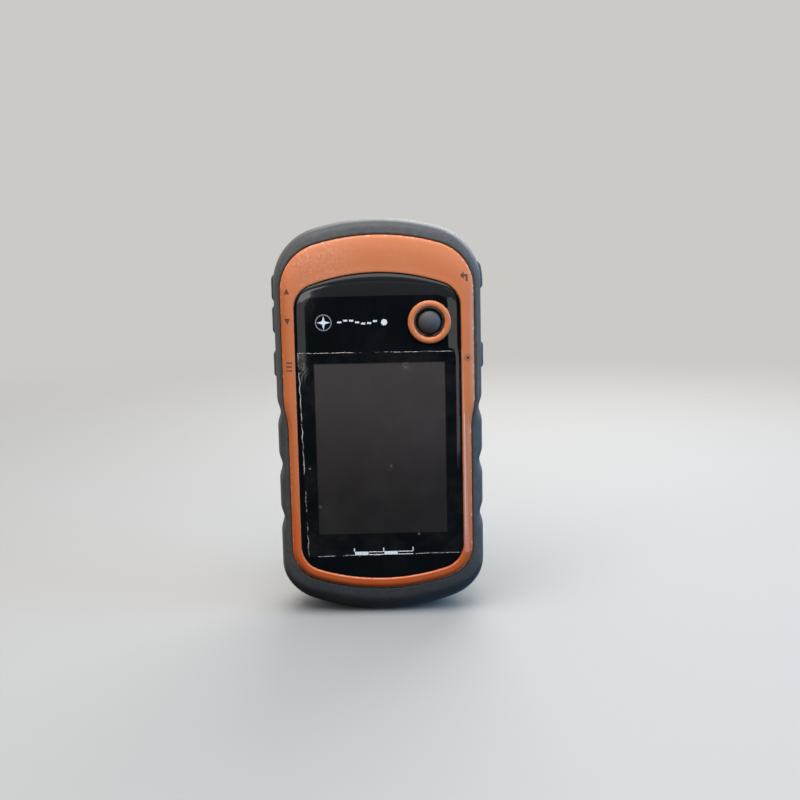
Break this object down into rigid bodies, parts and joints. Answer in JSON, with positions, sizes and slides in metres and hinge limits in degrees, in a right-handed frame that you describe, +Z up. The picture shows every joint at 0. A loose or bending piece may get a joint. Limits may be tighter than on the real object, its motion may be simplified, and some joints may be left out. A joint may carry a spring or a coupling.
{
  "type": "handheld gps receiver",
  "caption": "Rugged upright satellite-navigation handset with a rubber grip band, side keys, thumb stick, battery door with turn latch and mounting spine.",
  "frame": {"origin": "middle of the unit's box, on the surface that its foot stands on", "axes": "+Z up the unit's length, +Y out of its back, +X to its right seen from the front"},
  "size_m": [0.0544, 0.033, 0.103],
  "materials": {
    "orange_plastic": "fine-textured moulded plastic, worn at its edges",
    "grip_rubber": "matt moulded rubber",
    "shell_plastic": "fine-textured moulded plastic",
    "lens": "clear lens with a black printed border, polished",
    "film": "clear protective film with worn, whitened edges",
    "display_glass": "dark display, switched off",
    "white_plastic": "moulded light guide",
    "seal_rubber": "soft moulded seal",
    "circuit_board": "solder-masked board",
    "ceramic": "fired ceramic with a silvered patch",
    "black_plastic": "moulded black plastic",
    "steel": "pressed or turned steel",
    "contact_metal": "nickel-plated spring metal",
    "cell_sleeve": "printed sleeve on a steel can"
  },
  "bodies": {
    "case": {"face_bezel": "orange_plastic", "stick_bezel_ring": "orange_plastic", "grip_band": "grip_rubber", "front_chassis": "shell_plastic", "rear_shell": "shell_plastic", "lens_window": "lens", "screen_film": "film", "display_panel": "display_glass", "display_backlight": "white_plastic", "case_gasket": "seal_rubber", "cover_gasket": "seal_rubber", "main_board": "circuit_board", "switch_strip_left": "circuit_board", "switch_strip_right": "circuit_board", "patch_antenna": "ceramic", "beeper": "black_plastic", "case_screw_1": "steel", "case_screw_2": "steel", "case_screw_3": "steel", "case_screw_4": "steel", "display_frame": "steel", "usb_socket": "steel", "key_switch_zoom_in": "steel", "key_switch_zoom_out": "steel", "key_switch_menu": "steel", "key_switch_back": "steel", "key_switch_light": "steel", "stick_switch_base": "steel", "latch_keeper": "steel", "contact_spring_1": "contact_metal", "contact_spring_2": "contact_metal", "contact_plate_1": "contact_metal", "contact_plate_2": "contact_metal"},
    "stick_rocker": {"stick_rocker": "steel"},
    "stick_yoke": {"stick_yoke": "shell_plastic"},
    "stick_cap": {"stick_cap": "grip_rubber"},
    "zoom_in_key": {"zoom_in_key": "grip_rubber"},
    "zoom_out_key": {"zoom_out_key": "grip_rubber"},
    "menu_key": {"menu_key": "grip_rubber"},
    "back_key": {"back_key": "grip_rubber"},
    "light_key": {"light_key": "grip_rubber"},
    "usb_cap": {"usb_weather_cap": "grip_rubber"},
    "battery_door": {"battery_cover": "shell_plastic"},
    "latch": {"latch_disc": "steel", "latch_cam": "steel", "latch_screw": "steel"},
    "d_ring": {"d_ring": "steel"},
    "battery_1": {"battery_1": "cell_sleeve"},
    "battery_2": {"battery_2": "cell_sleeve"},
    "card_tray": {"card_holder": "steel", "memory_card": "black_plastic"}
  },
  "joints": [
    {"name": "stick_up_down", "type": "hinge", "parent": "case", "child": "stick_rocker", "pos_m": [0.0131, -0.0116, 0.0768], "axis": [1, 0, 0], "range_deg": [-7, 7], "stiffness_Nm_per_rad": 0.01},
    {"name": "stick_left_right", "type": "hinge", "parent": "stick_rocker", "child": "stick_yoke", "pos_m": [0.0131, -0.0116, 0.0768], "axis": [0, 0, 1], "range_deg": [-7, 7], "stiffness_Nm_per_rad": 0.01},
    {"name": "stick_press", "type": "slide", "parent": "stick_yoke", "child": "stick_cap", "axis": [0, 1, 0], "range_m": [0, 0.00035], "stiffness_N_per_m": 2000},
    {"name": "zoom_in_press", "type": "slide", "parent": "case", "child": "zoom_in_key", "axis": [1, 0, 0], "range_m": [0, 0.0006], "stiffness_N_per_m": 1500},
    {"name": "zoom_out_press", "type": "slide", "parent": "case", "child": "zoom_out_key", "axis": [1, 0, 0], "range_m": [0, 0.0006], "stiffness_N_per_m": 1500},
    {"name": "menu_press", "type": "slide", "parent": "case", "child": "menu_key", "axis": [1, 0, 0], "range_m": [0, 0.0006], "stiffness_N_per_m": 1500},
    {"name": "back_press", "type": "slide", "parent": "case", "child": "back_key", "axis": [-1, 0, 0], "range_m": [0, 0.0006], "stiffness_N_per_m": 1500},
    {"name": "light_press", "type": "slide", "parent": "case", "child": "light_key", "axis": [-1, 0, 0], "range_m": [0, 0.0006], "stiffness_N_per_m": 1500},
    {"name": "usb_cap_hinge", "type": "hinge", "parent": "case", "child": "usb_cap", "pos_m": [0, 0.01415, 0.0958], "axis": [1, 0, 0], "range_deg": [0, 115]},
    {"name": "battery_door_lift", "type": "slide", "parent": "case", "child": "battery_door", "axis": [0, 1, 0], "range_m": [0, 0.03]},
    {"name": "latch_turn", "type": "hinge", "parent": "battery_door", "child": "latch", "pos_m": [0, 0.0138, 0.0155], "axis": [0, 1, 0], "range_deg": [0, 90]},
    {"name": "d_ring_fold", "type": "hinge", "parent": "latch", "child": "d_ring", "pos_m": [0, 0.0153, 0.0155], "axis": [1, 0, 0], "range_deg": [0, 170]},
    {"name": "battery_1_lift", "type": "slide", "parent": "case", "child": "battery_1", "axis": [0, 1, 0], "range_m": [0, 0.018]},
    {"name": "battery_2_lift", "type": "slide", "parent": "case", "child": "battery_2", "axis": [0, 1, 0], "range_m": [0, 0.018]},
    {"name": "card_tray_hinge", "type": "hinge", "parent": "case", "child": "card_tray", "pos_m": [-0.0076, -0.003, 0.034], "axis": [-1, 0, 0], "range_deg": [0, 58]}
  ],
  "couplings": [
    {"joint": "battery_1_lift", "follows": "battery_door_lift", "ratio": 0.6},
    {"joint": "battery_2_lift", "follows": "battery_door_lift", "ratio": 0.6},
    {"joint": "card_tray_hinge", "follows": "battery_door_lift", "rad_per_m": 33}
  ]
}
